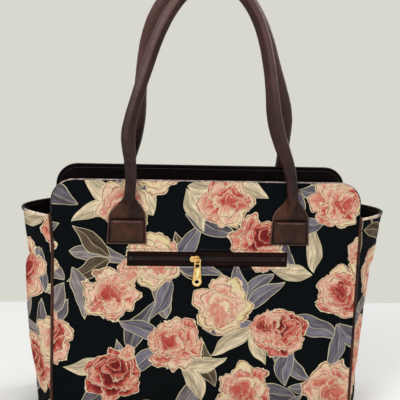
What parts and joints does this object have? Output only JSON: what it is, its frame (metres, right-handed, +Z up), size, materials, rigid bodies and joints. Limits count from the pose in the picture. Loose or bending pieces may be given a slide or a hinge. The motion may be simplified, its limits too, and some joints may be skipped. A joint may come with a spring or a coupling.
{
  "type": "laptop tote bag",
  "caption": "Open-topped woven laptop tote with flared end gussets, rolled leather handles on sewn tabs, a zipped front pocket and a padded divider inside.",
  "frame": {"origin": "middle of the base, on the ground", "axes": "+Z up, X along the bag's width, front pocket facing -Y"},
  "size_m": [0.484, 0.1345, 0.5792],
  "materials": {
    "tapestry": "woven floral jacquard on a black ground",
    "leather": "dark brown, fine grain, low sheen",
    "lining": "plain dark weave",
    "stiffening": "foam and board, hidden",
    "zip_tape": "dark brown ribbed tape",
    "zip_coil": "dark brown coil",
    "gilt_metal": "polished pale gold"
  },
  "bodies": {
    "bag": {"front_panel": "tapestry", "back_panel": "tapestry", "left_gusset": "tapestry", "right_gusset": "tapestry", "base_panel": "tapestry", "base_board": "stiffening", "front_padding": "stiffening", "back_padding": "stiffening", "front_facing": "leather", "back_facing": "leather", "left_facing": "leather", "right_facing": "leather", "lining": "lining", "left_lining": "lining", "right_lining": "lining", "laptop_divider": "lining", "front_piping": "leather", "back_piping": "leather", "front_left_handle_end": "leather", "front_right_handle_end": "leather", "back_left_handle_end": "leather", "back_right_handle_end": "leather", "front_left_patch": "leather", "front_right_patch": "leather", "back_left_patch": "leather", "back_right_patch": "leather", "pocket_upper_welt": "leather", "pocket_lower_welt": "leather", "zip_upper_tape": "zip_tape", "zip_lower_tape": "zip_tape", "zip_upper_coil": "zip_coil", "zip_lower_coil": "zip_coil", "zip_end_stops": "gilt_metal", "pocket_bag": "lining"},
    "front_handle": {"front_handle": "leather", "front_handle_core": "stiffening"},
    "back_handle": {"back_handle": "leather", "back_handle_core": "stiffening"},
    "zip_slider": {"zip_slider": "gilt_metal"},
    "zip_pull": {"zip_pull": "gilt_metal"}
  },
  "joints": [
    {"name": "front_handle_fold", "type": "hinge", "parent": "bag", "child": "front_handle", "pos_m": [0, -0.06688, 0.30141], "axis": [1, 0, 0], "range_deg": [0, 165]},
    {"name": "back_handle_fold", "type": "hinge", "parent": "bag", "child": "back_handle", "pos_m": [0, 0.06688, 0.30141], "axis": [-1, 0, 0], "range_deg": [0, 165]},
    {"name": "zip_slide", "type": "slide", "parent": "bag", "child": "zip_slider", "axis": [1, 0, 0], "range_m": [-0.078, 0.112]},
    {"name": "pull_lift", "type": "hinge", "parent": "zip_slider", "child": "zip_pull", "pos_m": [-0.0135, -0.05527, 0.21696], "axis": [-1, 0, 0], "range_deg": [0, 170]}
  ]
}
